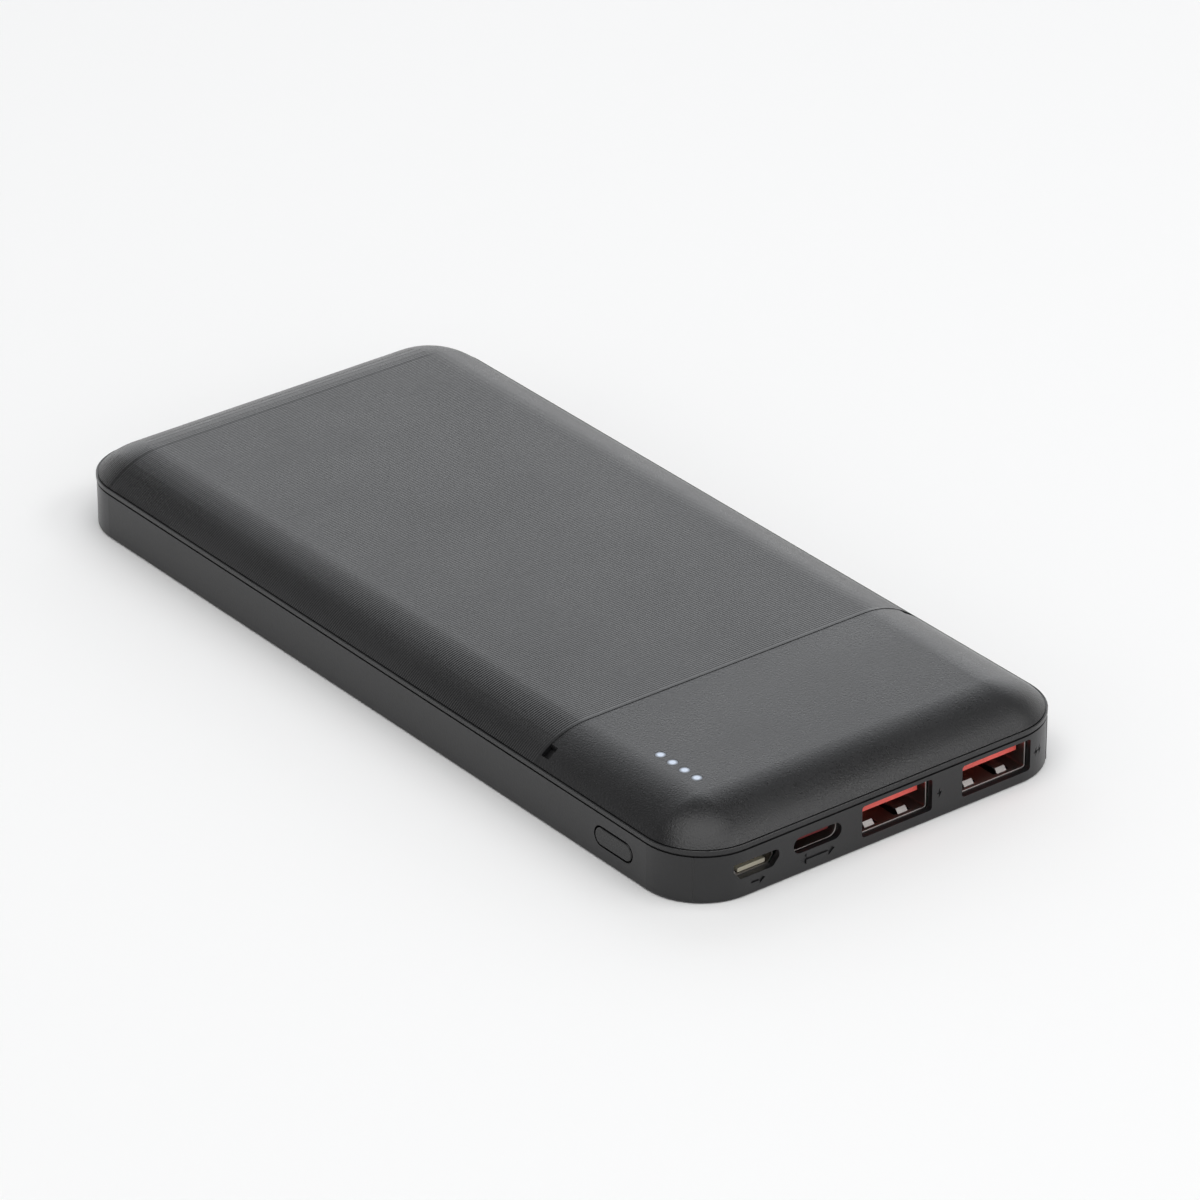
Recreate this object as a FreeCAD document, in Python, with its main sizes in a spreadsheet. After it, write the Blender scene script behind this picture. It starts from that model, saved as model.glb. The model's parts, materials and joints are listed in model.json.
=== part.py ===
import FreeCAD, Part
import math
import os
import re
import Sketcher

# Power bank: a flat tray closed by a softly rounded cover, with two USB-A outputs, a USB-C port and a
# micro-USB input in the front end, a key in the left side and four light dots in the top.
# Frame: millimetres, X across, Y along with the ports at -Y, Z up, origin under the middle of the case.

SIZES = (
    # case
    ("case_width", 72.6), ("case_length", 155.9), ("case_height", 12.85), ("case_radius", 10.2),
    ("tray_inset", 0.1), ("tray_height", 7.95), ("wall", 1.4), ("floor_thick", 1.2),
    ("base_round", 0.4), ("rebate_tall", 0.3), ("rebate_wide", 0.25), ("lip_base", 8.05),
    ("lip_top", 8.8), ("lip_edge", 0.1), ("lip_groove", 0.42), ("groove_drop", 0.12), ("rim_step", 0.36),
    ("rim_width", 10.1), ("rim_large", 13.8), ("bead_size", 0.3), ("bead_proud", 0.08),
    ("clear_over", 1.0),
    ("tongue_gap", 0.1), ("tongue_thick", 0.6), ("tongue_base", 7.6),
    ("cavity_step", 9.2), ("roof_thick", 1.4), ("cavity_inset", 8.0),
    ("seam_front", 43.1), ("seam_width", 1.7), ("seam_depth", 0.07),
    ("seam_end", 1.5), ("slot_end", 3.4), ("slot_depth", 0.9),
    ("hook_long", 6.0), ("hook_thick", 0.6), ("hook_drop", 2.0), ("hook_barb", 0.35),
    ("hook_pitch", 44.0), ("hook_shift", 14.0), ("catch_gap", 0.15),
    # ports and board
    ("port_wall", 1.05), ("port_gap", 0.05), ("relief_long", 56.0), ("relief_deep", 1.2),
    ("board_top", 3.2), ("board_thick", 1.0), ("board_front", 76.3), ("board_back", 40.3),
    ("board_side", 34.2), ("board_round", 9.3), ("key_notch", 1.0),
    ("boss_size", 4.4), ("pilot_size", 1.5), ("pilot_deep", 1.55), ("screw_hole", 1.9),
    ("screw_side", 31.0), ("screw_front", 68.5), ("screw_back", 43.2),
    ("screw_head", 3.0), ("screw_head_tall", 0.9), ("screw_below", 2.4),
    ("driver_wide", 0.4), ("driver_long", 1.6), ("driver_deep", 0.5),
    ("usb_a_one", 2.1), ("usb_a_two", 21.05), ("usb_a_open_wide", 13.2), ("usb_a_open_tall", 5.2),
    ("usb_a_open_mid", 4.4), ("usb_a_open_round", 0.5), ("usb_a_wide", 13.1), ("usb_a_tall", 5.7),
    ("usb_a_base", 1.72), ("usb_a_long", 13.9), ("usb_a_round", 0.6), ("sheet_metal", 0.3),
    ("tongue_wide", 11.1), ("tongue_tall", 1.84), ("tongue_low", 4.57), ("tongue_back", 1.1),
    ("rear_block", 4.4), ("finger_wide", 1.8), ("finger_left", 3.7), ("finger_right", 2.6),
    ("window_wide", 3.0), ("window_long", 5.6), ("window_start", 0.9),
    ("contact_wide", 1.0), ("contact_thick", 0.2), ("contact_inner", 1.0), ("contact_outer", 3.5),
    ("contact_leg", 0.35), ("board_cut_wide", 13.7), ("board_cut_long", 13.6),
    ("usb_c_mid", -12.8), ("usb_c_open_wide", 8.9), ("usb_c_open_tall", 2.7), ("usb_c_height", 4.85),
    ("usb_c_wide", 8.94), ("usb_c_tall", 3.26), ("usb_c_long", 7.3), ("usb_c_tongue_wide", 6.69),
    ("usb_c_tongue_tall", 0.7), ("usb_c_tongue_back", 0.7), ("usb_c_block", 1.8),
    ("fine_pitch", 0.5), ("fine_wide", 0.25), ("fine_thick", 0.06), ("fine_long", 3.6),
    ("micro_mid", -24.0), ("micro_open_wide", 8.2), ("micro_open_low", 5.9), ("micro_open_tall", 2.6),
    ("micro_open_base", 3.2), ("micro_open_side", 1.3), ("micro_open_round", 0.8),
    ("micro_wide", 7.5), ("micro_low", 5.7),
    ("micro_tall", 2.5), ("micro_side", 1.2), ("micro_sheet", 0.25), ("micro_long", 5.5),
    ("micro_tongue_wide", 5.0), ("micro_tongue_tall", 0.65), ("micro_block", 1.6), ("mouth_round", 0.11),
    ("micro_pitch", 0.65), ("micro_contact", 0.35),
    ("icon_deep", 0.22), ("icon_line", 0.42), ("bolt_tall", 1.7), ("bolt_wide", 0.95),
    ("icon_micro_height", 2.0), ("icon_micro_long", 3.0), ("icon_micro_head", 0.95),
    ("icon_c_height", 2.2), ("icon_c_long", 6.4), ("icon_c_head", 1.15),
    ("bolt_one", 10.1), ("bolt_two", 29.0), ("bolt_height", 4.2), ("bolt_step", 0.9),
    ("bolt_two_sink", 0.45), ("bolt_three_sink", 0.75),
    # key, switch and lights
    ("key_mid", -60.2), ("key_height", 4.1), ("key_open_long", 9.0), ("key_open_tall", 3.4),
    ("key_gap", 0.27), ("key_round", 0.25), ("key_flange_long", 10.4), ("key_flange_tall", 4.6),
    ("key_flange_thick", 0.8), ("key_flange_gap", 0.1), ("nub_long", 1.15), ("nub_wide", 2.0),
    ("nub_tall", 1.2), ("switch_wide", 4.5), ("switch_deep", 3.0), ("switch_tall", 2.0),
    ("switch_edge", 31.7), ("switch_sheet", 0.15), ("plunger_wide", 1.8), ("plunger_tall", 0.9),
    ("plunger_gap", 0.1), ("plunger_out", 0.95), ("plunger_in", 1.0), ("dome_size", 1.6),
    ("dome_rise", 0.3), ("dome_gap", 0.4),
    ("light_x", -24.3), ("light_pitch", 2.8), ("pin_size", 1.6), ("pin_hole", 1.7),
    ("pin_recess", 0.02), ("bar_base", 10.1), ("bar_top", 11.3), ("bar_wide", 2.4), ("bar_long", 11.2),
    ("pin_base", 4.0), ("baffle_wide", 4.0), ("baffle_long", 12.4), ("baffle_top", 9.9),
    ("baffle_hole", 2.1), ("led_long", 1.6), ("led_wide", 0.8), ("led_tall", 0.6),
    ("post_size", 3.0), ("post_left", -17.5), ("post_right", 29.6), ("post_front", 61.5),
    ("post_gap", 0.05),
    # cells and wiring
    ("cell_wide", 60.0), ("cell_long", 102.0), ("cell_thick", 4.4), ("cell_front", -33.5),
    ("cell_round", 1.3), ("pad_thick", 0.3), ("pad_wide", 12.0), ("pad_side", 18.0),
    ("bond_thick", 0.2), ("bond_wide", 44.0), ("foam_thick", 0.85), ("foam_wide", 36.0),
    ("foam_long", 64.0), ("divider_mid", -39.2), ("divider_thick", 1.0), ("divider_top", 5.9),
    ("guard_mid", -36.4), ("guard_long", 32.0), ("guard_wide", 3.6), ("guard_base", 6.4),
    ("guard_thick", 0.8), ("tab_wide", 4.0), ("tab_thick", 0.15), ("tab_side", 11.0),
    ("lead_size", 1.3), ("lead_bend", 2.0), ("lead_top", 9.4), ("lead_y", -43.0),
    ("lead_span", 6.6), ("lead_plus", 8.6), ("lead_minus", -9.2),
    ("sensor_long", 2.6), ("sensor_wide", 1.8), ("sensor_tall", 0.7), ("sensor_x", -19.0),
    ("sensor_y", -30.5),
    ("thin_wire", 0.4), ("thin_bend", 1.5), ("thin_gap", 0.9),
    ("coil_size", 12.4), ("coil_tall", 6.0), ("coil_x", 4.0), ("coil_y", -51.0), ("coil_round", 1.5),
    ("clip_wide", 4.0), ("clip_thick", 0.15), ("clip_tall", 1.6),
    ("chip_large", 6.0), ("chip_small", 4.0), ("chip_tall", 0.9), ("fet_wide", 5.0),
    ("fet_long", 5.6), ("fet_tall", 1.0), ("cap_long", 1.6), ("cap_wide", 0.9), ("cap_pitch", 2.9),
    ("resistor_long", 1.0), ("resistor_wide", 0.55), ("resistor_tall", 0.4), ("resistor_pitch", 2.1),
    ("can_size", 6.3), ("can_tall", 5.7), ("pad_margin", 10.0), ("foam_shift", 6.0),
    ("guard_chip_long", 2.9), ("guard_chip_wide", 2.6), ("guard_chip_tall", 0.9),
    ("guard_chip_pitch", 4.3), ("tape_long", 13.0), ("tape_wide", 3.2), ("tape_thick", 0.1),
)

doc = FreeCAD.newDocument("power_bank")
sheet = doc.addObject("Spreadsheet::Sheet", "Sizes")
finished = []


def fill_sheet():
    for row, (alias, value) in enumerate(SIZES, start=1):
        cell = "A%d" % row
        sheet.set(cell, str(value))
        sheet.setAlias(cell, alias)
    doc.recompute()


ALIAS = re.compile(r"\b(%s)\b" % "|".join(name for name, value in SIZES))


def bound(formula):
    """The formula with every size name pointed at the sheet."""
    return ALIAS.sub(r"Sizes.\1", str(formula))


def value(formula):
    """The formula's present value, for a sketch's first geometry."""
    result = sheet.evalExpression(bound(formula))
    return float(getattr(result, "Value", result))


def finish(part, label):
    part.Label = label
    finished.append(part)
    return part


# ---- bodies, sketches and features ------------------------------------------------------------

def new_body(name):
    return doc.addObject("PartDesign::Body", name + "_body")


def new_sketch(body, name, role, place):
    """A sketch on one of the body's origin planes, moved by place = (x, y, z) formulas in the plane."""
    sketch = body.newObject("Sketcher::SketchObject", name)
    plane = [item for item in body.Origin.OriginFeatures if item.Role == role][0]
    sketch.AttachmentSupport = [(plane, "")]
    sketch.MapMode = "FlatFace"
    for axis, formula in zip("xyz", place):
        sketch.setExpression("AttachmentOffset.Base." + axis, bound(formula))
    return sketch


def flat(body, name, x="0", y="0", z="0"):
    """A sketch parallel to the floor, centred on (x, y) at height z."""
    return new_sketch(body, name, "XY_Plane", (x, y, z))


def upright(body, name, x="0", y="0", z="0"):
    """A sketch facing the front end, centred on (x, z), at y; its own axes are X and Z."""
    return new_sketch(body, name, "XZ_Plane", (x, z, "-(%s)" % y))


def sideways(body, name, x="0", y="0", z="0"):
    """A sketch facing the right side, centred on (y, z), at x; its own axes are Y and Z."""
    return new_sketch(body, name, "YZ_Plane", (y, z, x))


def vector(x, y):
    return FreeCAD.Vector(x, y, 0)


def size(sketch, kind, places, formula):
    """A dimension on the sketch, bound to a formula."""
    index = sketch.addConstraint(Sketcher.Constraint(kind, *places, value(formula)))
    sketch.setExpression("Constraints[%d]" % index, bound(formula))


def fix(sketch, kind, *places):
    sketch.addConstraint(Sketcher.Constraint(kind, *places))


def closed_lines(sketch, corners):
    """Straight lines through the corners and back to the first."""
    first = sketch.GeometryCount
    ends = corners[1:] + corners[:1]
    for start, end in zip(corners, ends):
        sketch.addGeometry(Part.LineSegment(vector(*start), vector(*end)), False)
    count = len(corners)
    for number in range(count):
        fix(sketch, "Coincident", first + number, 2, first + (number + 1) % count, 1)
    return first


def rectangle(sketch, wide, tall):
    half_x = value(wide) / 2
    half_y = value(tall) / 2
    corners = [(-half_x, -half_y), (half_x, -half_y), (half_x, half_y), (-half_x, half_y)]
    first = closed_lines(sketch, corners)
    for number, kind in enumerate(("Horizontal", "Vertical", "Horizontal", "Vertical")):
        fix(sketch, kind, first + number)
    fix(sketch, "Symmetric", first, 1, first + 2, 1, -1, 1)
    size(sketch, "DistanceX", (first, 1, first, 2), wide)
    size(sketch, "DistanceY", (first + 1, 1, first + 1, 2), tall)
    return sketch


def rounded(sketch, wide, tall, radius):
    """A centred rectangle with round corners."""
    half_x = value(wide) / 2
    half_y = value(tall) / 2
    bend = value(radius)
    lines = [((bend - half_x, -half_y), (half_x - bend, -half_y)),
             ((half_x, bend - half_y), (half_x, half_y - bend)),
             ((half_x - bend, half_y), (bend - half_x, half_y)),
             ((-half_x, half_y - bend), (-half_x, bend - half_y))]
    for start, end in lines:
        sketch.addGeometry(Part.LineSegment(vector(*start), vector(*end)), False)
    centres = [(half_x - bend, bend - half_y), (half_x - bend, half_y - bend),
               (bend - half_x, half_y - bend), (bend - half_x, bend - half_y)]
    quarter = math.pi / 2
    for number, centre in enumerate(centres):
        circle = Part.Circle(vector(*centre), FreeCAD.Vector(0, 0, 1), bend)
        start = (number - 1) * quarter
        sketch.addGeometry(Part.ArcOfCircle(circle, start, start + quarter), False)
    for number in range(4):
        fix(sketch, "Tangent", number, 2, 4 + number, 1)
        fix(sketch, "Tangent", 4 + number, 2, (number + 1) % 4, 1)
        fix(sketch, "Vertical" if number % 2 else "Horizontal", number)
    for number in (5, 6, 7):
        fix(sketch, "Equal", 4, number)
    fix(sketch, "Symmetric", 4, 3, 6, 3, -1, 1)
    size(sketch, "DistanceX", (3, 1, 1, 1), wide)
    size(sketch, "DistanceY", (0, 1, 2, 1), tall)
    size(sketch, "Radius", (4,), radius)
    return sketch


def slot(sketch, wide, tall):
    """A centred stadium, with round ends left and right."""
    bend = value(tall) / 2
    half = value(wide) / 2 - bend
    quarter = math.pi / 2
    up = FreeCAD.Vector(0, 0, 1)
    sketch.addGeometry(Part.LineSegment(vector(-half, -bend), vector(half, -bend)), False)
    right = Part.Circle(vector(half, 0), up, bend)
    sketch.addGeometry(Part.ArcOfCircle(right, -quarter, quarter), False)
    sketch.addGeometry(Part.LineSegment(vector(half, bend), vector(-half, bend)), False)
    left = Part.Circle(vector(-half, 0), up, bend)
    sketch.addGeometry(Part.ArcOfCircle(left, quarter, 3 * quarter), False)
    for number in range(4):
        fix(sketch, "Tangent", number, 2, (number + 1) % 4, 1)
    fix(sketch, "Horizontal", 0)
    fix(sketch, "Symmetric", 1, 3, 3, 3, -1, 1)
    size(sketch, "DistanceY", (0, 2, 2, 1), tall)
    size(sketch, "DistanceX", (3, 3, 1, 3), "(%s) - (%s)" % (wide, tall))
    return sketch


def circle(sketch, diameter):
    ring = Part.Circle(vector(0, 0), FreeCAD.Vector(0, 0, 1), value(diameter) / 2)
    sketch.addGeometry(ring, False)
    fix(sketch, "Coincident", 0, 3, -1, 1)
    size(sketch, "Diameter", (0,), diameter)
    return sketch


def outline(sketch, corners):
    """A closed outline through corners given as pairs of formulas from the sketch's origin."""
    first = closed_lines(sketch, [(value(x), value(y)) for x, y in corners])
    for number, (x, y) in enumerate(corners):
        size(sketch, "DistanceX", (-1, 1, first + number, 1), x)
        size(sketch, "DistanceY", (-1, 1, first + number, 1), y)
    return sketch


def pad(body, name, sketch, length, reverse=False, middle=False):
    feature = body.newObject("PartDesign::Pad", name)
    feature.Profile = sketch
    feature.setExpression("Length", bound(length))
    feature.Reversed = reverse
    feature.Midplane = middle
    return feature


def pocket(body, name, sketch, length, reverse=False, middle=False):
    feature = body.newObject("PartDesign::Pocket", name)
    feature.Profile = sketch
    feature.setExpression("Length", bound(length))
    feature.Reversed = reverse
    feature.Midplane = middle
    return feature


def edge_names(shape, wanted):
    """The names of the edges that a test picks."""
    return ["Edge%d" % (number + 1) for number, edge in enumerate(shape.Edges) if wanted(edge)]


def at_height(height):
    """A test for edges that lie wholly at one height."""
    def wanted(edge):
        box = edge.BoundBox
        return abs(box.ZMin - height) < 1e-6 and abs(box.ZMax - height) < 1e-6
    return wanted


def round_edges(body, name, feature, wanted, radius):
    doc.recompute()
    fillet = body.newObject("PartDesign::Fillet", name)
    fillet.Base = (feature, edge_names(feature.Shape, wanted))
    fillet.setExpression("Radius", bound(radius))
    body.Tip = fillet
    return fillet


def bevel_edges(body, name, feature, wanted, length):
    doc.recompute()
    bevel = body.newObject("PartDesign::Chamfer", name)
    bevel.Base = (feature, edge_names(feature.Shape, wanted))
    bevel.setExpression("Size", bound(length))
    body.Tip = bevel
    return bevel


# ---- plain solids and groups ------------------------------------------------------------------

def block(name, lengths, centre, base):
    """A box of three length formulas, centred on (x, y) and standing at height base."""
    box = doc.addObject("Part::Box", name)
    for prop, formula in zip(("Length", "Width", "Height"), lengths):
        box.setExpression(prop, bound(formula))
    box.setExpression("Placement.Base.x", bound("(%s) - (%s) / 2" % (centre[0], lengths[0])))
    box.setExpression("Placement.Base.y", bound("(%s) - (%s) / 2" % (centre[1], lengths[1])))
    box.setExpression("Placement.Base.z", bound(base))
    return box


def drum(name, diameter, tall, centre, base):
    """An upright cylinder."""
    rod = doc.addObject("Part::Cylinder", name)
    rod.setExpression("Radius", bound("(%s) / 2" % diameter))
    rod.setExpression("Height", bound(tall))
    rod.setExpression("Placement.Base.x", bound(centre[0]))
    rod.setExpression("Placement.Base.y", bound(centre[1]))
    rod.setExpression("Placement.Base.z", bound(base))
    return rod


def joined(name, pieces):
    fuse = doc.addObject("Part::MultiFuse", name)
    fuse.Shapes = pieces
    return fuse


def cut(name, base, tool):
    result = doc.addObject("Part::Cut", name)
    result.Base = base
    result.Tool = tool
    return result


def group(name, pieces):
    together = doc.addObject("Part::Compound", name)
    together.Links = pieces
    return together


# ---- tray -------------------------------------------------------------------------------------

TRAY_WIDE = "case_width - 2 * tray_inset"
TRAY_LONG = "case_length - 2 * tray_inset"
TRAY_ROUND = "case_radius - tray_inset"
FRONT = "-(case_length / 2 - tray_inset)"
LEFT = "-(case_width / 2 - tray_inset)"
SHELL_FRONT = "-(case_length / 2 - tray_inset) + port_wall + port_gap"
MICRO_CORNERS = ("_wide", "_low", "_tall", "_side")


def micro_outline(sketch, kind, inset="0"):
    """The micro-USB outline: flat top, lower corners cut off; kind is micro or micro_open."""
    wide, low, tall, side = ["%s%s" % (kind, end) for end in MICRO_CORNERS]
    half = "(%s / 2 - %s)" % (wide, inset)
    foot = "(%s / 2 - %s / 2)" % (low, inset)
    right = [(foot, inset), (half, side), (half, "%s - %s" % (tall, inset))]
    left = [("-" + x, y) for x, y in reversed(right)]
    return outline(sketch, right + left)


def arrow(body, kind, x, signs):
    """A generic pictogram: a bar with a head at each signed end, cut a little into the front wall."""
    length, head, height = [kind + end for end in ("_long", "_head", "_height")]
    sketch = upright(body, kind + "_bar", x, FRONT, height)
    rectangle(sketch, "%s - %s" % (length, head), "icon_line")
    pocket(body, kind + "_line", sketch, "icon_deep")
    for number, sign in enumerate(signs):
        tip = upright(body, "%s_tip_%d" % (kind, number), "(%s) + (%d) * %s / 2" % (x, sign, length),
                      FRONT, height)
        back = "%d * %s" % (-sign, head)
        outline(tip, [("0", "0"), (back, head + " * 0.8"), (back, "-%s * 0.8" % head)])
        pocket(body, "%s_point_%d" % (kind, number), tip, "icon_deep")


def bolt(body, name, x, sink="0"):
    """A generic zigzag mark beside a USB-A opening; sink is how far the wall has curved back there."""
    sketch = upright(body, name + "_outline", x, FRONT, "bolt_height")
    outline(sketch, [("bolt_wide * 0.15", "bolt_tall / 2"), ("-bolt_wide / 2", "-bolt_tall * 0.1"),
                     ("-bolt_wide * 0.05", "-bolt_tall * 0.1"), ("-bolt_wide * 0.15", "-bolt_tall / 2"),
                     ("bolt_wide / 2", "bolt_tall * 0.1"), ("bolt_wide * 0.05", "bolt_tall * 0.1")])
    pocket(body, name + "_mark", sketch, "icon_deep + " + sink)


def bottom_housing():
    body = new_body("tray")
    base = rounded(flat(body, "tray_plan"), TRAY_WIDE, TRAY_LONG, TRAY_ROUND)
    block_feature = pad(body, "tray_block", base, "tray_height - rebate_tall")
    round_edges(body, "tray_base_edge", block_feature, at_height(0), "base_round")
    brim = flat(body, "tray_brim_plan", z="tray_height - rebate_tall")
    rounded(brim, TRAY_WIDE + " - 2 * rebate_wide", TRAY_LONG + " - 2 * rebate_wide",
            TRAY_ROUND + " - rebate_wide")
    pad(body, "tray_brim", brim, "rebate_tall")
    inside = flat(body, "tray_inside_plan", z="tray_height")
    rounded(inside, TRAY_WIDE + " - 2 * wall", TRAY_LONG + " - 2 * wall", TRAY_ROUND + " - wall")
    pocket(body, "tray_inside", inside, "tray_height - floor_thick")
    relief = flat(body, "port_relief_plan", y=FRONT + " + port_wall + relief_deep / 2", z="tray_height")
    rectangle(relief, "relief_long", "relief_deep")
    pocket(body, "port_relief", relief, "tray_height - floor_thick")
    for side in (-1, 1):
        tray_side(body, side)
    divider(body)
    port_openings(body)
    key_opening(body)
    mould_lines(body)
    return finish(body, "bottom_housing")


def tray_side(body, side):
    """Screw bosses with pilot holes, and the catches for the cover's hooks, on one side."""
    tag = "left" if side < 0 else "right"
    for spot in ("front", "back"):
        x = "%d * screw_side" % side
        y = "-screw_" + spot
        name = "boss_%s_%s" % (tag, spot)
        foot = circle(flat(body, name + "_plan", x, y, "floor_thick"), "boss_size")
        pad(body, name, foot, "board_top - board_thick - floor_thick")
        pilot = circle(flat(body, name + "_pilot_plan", x, y, "board_top - board_thick"), "pilot_size")
        pocket(body, name + "_pilot", pilot, "pilot_deep")
    for number in range(3):
        y = "hook_shift + (%d) * hook_pitch" % (number - 1)
        x = "%d * (case_width / 2 - tray_inset - wall)" % side
        name = "catch_%s_%d" % (tag, number)
        catch = flat(body, name + "_plan", x, y, "tongue_base - hook_drop + catch_gap * 6")
        rectangle(catch, "2 * (hook_barb + catch_gap)", "hook_long + 4 * catch_gap")
        pocket(body, name, catch, "hook_barb * 2 + catch_gap * 6")


def divider(body):
    """A low wall between the board and the cells, with a gap in the middle for the tabs."""
    for side in (-1, 1):
        name = "divider_left" if side < 0 else "divider_right"
        x = "%d * (guard_long / 2 + (case_width / 2 - wall - guard_long / 2) / 2)" % side
        plan = flat(body, name + "_plan", x, "divider_mid", "floor_thick")
        rectangle(plan, "case_width / 2 - wall - guard_long / 2", "divider_thick")
        pad(body, name, plan, "divider_top - floor_thick")


def port_openings(body):
    deep = "wall + port_gap"
    for number, centre in enumerate(("usb_a_one", "usb_a_two")):
        sketch = upright(body, "usb_a_open_plan_%d" % number, centre, FRONT, "usb_a_open_mid")
        rounded(sketch, "usb_a_open_wide", "usb_a_open_tall", "usb_a_open_round")
        pocket(body, "usb_a_open_%d" % number, sketch, deep)
    sketch = upright(body, "usb_c_open_plan", "usb_c_mid", FRONT, "usb_c_height")
    pocket(body, "usb_c_open", slot(sketch, "usb_c_open_wide", "usb_c_open_tall"), deep)
    sketch = upright(body, "micro_open_plan", "micro_mid", FRONT, "micro_open_base")
    opening = pocket(body, "micro_open", micro_outline(sketch, "micro_open"), deep)
    middle = value("micro_mid")
    reach = value("micro_open_wide") / 2 + value("port_gap")

    def opening_corner(edge):
        box = edge.BoundBox
        through = box.YLength > value("port_wall") / 2 and box.XLength < 1e-6 and box.ZLength < 1e-6
        return through and abs(box.XMin - middle) < reach and box.ZMin > value("micro_open_base") - 1e-6 \
            and box.YMin < value(FRONT) + 1e-6

    round_edges(body, "micro_open_corners", opening, opening_corner, "micro_open_round")
    arrow(body, "icon_micro", "micro_mid", (1,))
    arrow(body, "icon_c", "usb_c_mid", (1, -1))
    bolt(body, "bolt_single", "bolt_one")
    bolt(body, "bolt_pair_first", "bolt_two", "bolt_two_sink")
    bolt(body, "bolt_pair_second", "bolt_two + bolt_step", "bolt_three_sink")


def key_opening(body):
    sketch = sideways(body, "key_open_plan", LEFT, "key_mid", "key_height")
    slot(sketch, "key_open_long", "key_open_tall")
    pocket(body, "key_open", sketch, "2 * wall + clear_over", middle=True)


def mould_lines(body):
    """The fine raised line down each front corner, where the mould's front slide meets the rest."""
    reach = "(case_radius - tray_inset + bead_proud - bead_size / 2) * sqrt(2) / 2"
    for side in (-1, 1):
        name = "mould_line_left" if side < 0 else "mould_line_right"
        x = "%d * (case_width / 2 - case_radius + %s)" % (side, reach)
        y = "-(case_length / 2 - case_radius + %s)" % reach
        plan = circle(flat(body, name + "_plan", x, y, "base_round"), "bead_size")
        pad(body, name, plan, "tray_height - rebate_tall - base_round")


# ---- cover ------------------------------------------------------------------------------------

def rim_section(body):
    """What is taken off the block: outside the rim's arc, the lip's edge and the groove behind it.

    Its origin is on the lip's outer face at floor height, and the arc ends level with the flat top.
    """
    sketch = upright(body, "rim_section", "-case_width / 2")
    large = value("rim_large")
    top = (value("rim_width"), value("case_height"))
    step = value("rim_step")
    edge = value("lip_edge")
    lip_z = value("lip_top")
    out_x = -value("clear_over")
    over_z = top[1] + value("clear_over")
    angle = math.acos((step - top[0]) / large)
    step_z = top[1] - large + large * math.sin(angle)
    ring = Part.Circle(vector(top[0], top[1] - large), FreeCAD.Vector(0, 0, 1), large)
    sketch.addGeometry(Part.ArcOfCircle(ring, math.pi / 2, angle), False)
    corners = [top, (top[0], over_z), (out_x, over_z), (out_x, lip_z - edge), (0, lip_z - edge),
               (edge, lip_z), (value("lip_groove"), lip_z - value("groove_drop")), (step, step_z)]
    for start, end in zip(corners[:-1], corners[1:]):
        sketch.addGeometry(Part.LineSegment(vector(*start), vector(*end)), False)
    last = len(corners) - 1
    fix(sketch, "Coincident", 1, 1, 0, 1)
    for number in range(1, last):
        fix(sketch, "Coincident", number, 2, number + 1, 1)
    fix(sketch, "Coincident", last, 2, 0, 2)
    for number, kind in ((1, "Vertical"), (2, "Horizontal"), (3, "Vertical"), (4, "Horizontal")):
        fix(sketch, kind, number)
    fix(sketch, "Vertical", 0, 3, 0, 1)
    fix(sketch, "PointOnObject", 4, 2, -2)
    size(sketch, "Radius", (0,), "rim_large")
    size(sketch, "DistanceX", (-1, 1, 0, 1), "rim_width")
    size(sketch, "DistanceY", (-1, 1, 0, 1), "case_height")
    size(sketch, "DistanceY", (-1, 1, 1, 2), "case_height + clear_over")
    size(sketch, "DistanceX", (3, 1, -1, 1), "clear_over")
    size(sketch, "DistanceY", (-1, 1, 4, 2), "lip_top - lip_edge")
    size(sketch, "DistanceX", (-1, 1, 5, 2), "lip_edge")
    size(sketch, "DistanceY", (-1, 1, 5, 2), "lip_top")
    size(sketch, "DistanceX", (-1, 1, 6, 2), "lip_groove")
    size(sketch, "DistanceY", (-1, 1, 6, 2), "lip_top - groove_drop")
    size(sketch, "DistanceX", (-1, 1, 0, 2), "rim_step")
    return sketch


def groove_region(body, name, inner, outer, depth):
    """Right half of a groove across the top: from x = inner to outer, its floor along the rim's arc."""
    sketch = upright(body, name, y="-seam_front + seam_width / 2")
    flat_half = value("case_width / 2 - rim_width")
    big = value("rim_large") - value(depth)
    centre_z = value("case_height - rim_large")
    over_z = value("case_height + clear_over")
    start = math.acos((value(outer) - flat_half) / big)
    stop = math.acos((value(inner) - flat_half) / big)
    ring = Part.Circle(vector(flat_half, centre_z), FreeCAD.Vector(0, 0, 1), big)
    sketch.addGeometry(Part.ArcOfCircle(ring, start, stop), False)
    low = centre_z + big * math.sin(start)
    high = centre_z + big * math.sin(stop)
    corners = [(value(inner), high), (value(inner), over_z), (value(outer), over_z), (value(outer), low)]
    for first, second in zip(corners[:-1], corners[1:]):
        sketch.addGeometry(Part.LineSegment(vector(*first), vector(*second)), False)
    fix(sketch, "Coincident", 0, 2, 1, 1)
    fix(sketch, "Coincident", 1, 2, 2, 1)
    fix(sketch, "Coincident", 2, 2, 3, 1)
    fix(sketch, "Coincident", 3, 2, 0, 1)
    fix(sketch, "Vertical", 1)
    fix(sketch, "Horizontal", 2)
    fix(sketch, "Vertical", 3)
    size(sketch, "Radius", (0,), "rim_large - " + depth)
    size(sketch, "DistanceX", (-1, 1, 0, 3), "case_width / 2 - rim_width")
    size(sketch, "DistanceY", (0, 3, 1, 2), "rim_large + clear_over")
    size(sketch, "DistanceY", (-1, 1, 1, 2), "case_height + clear_over")
    size(sketch, "DistanceX", (-1, 1, 1, 2), inner)
    size(sketch, "DistanceX", (-1, 1, 2, 2), outer)
    return sketch


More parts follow.
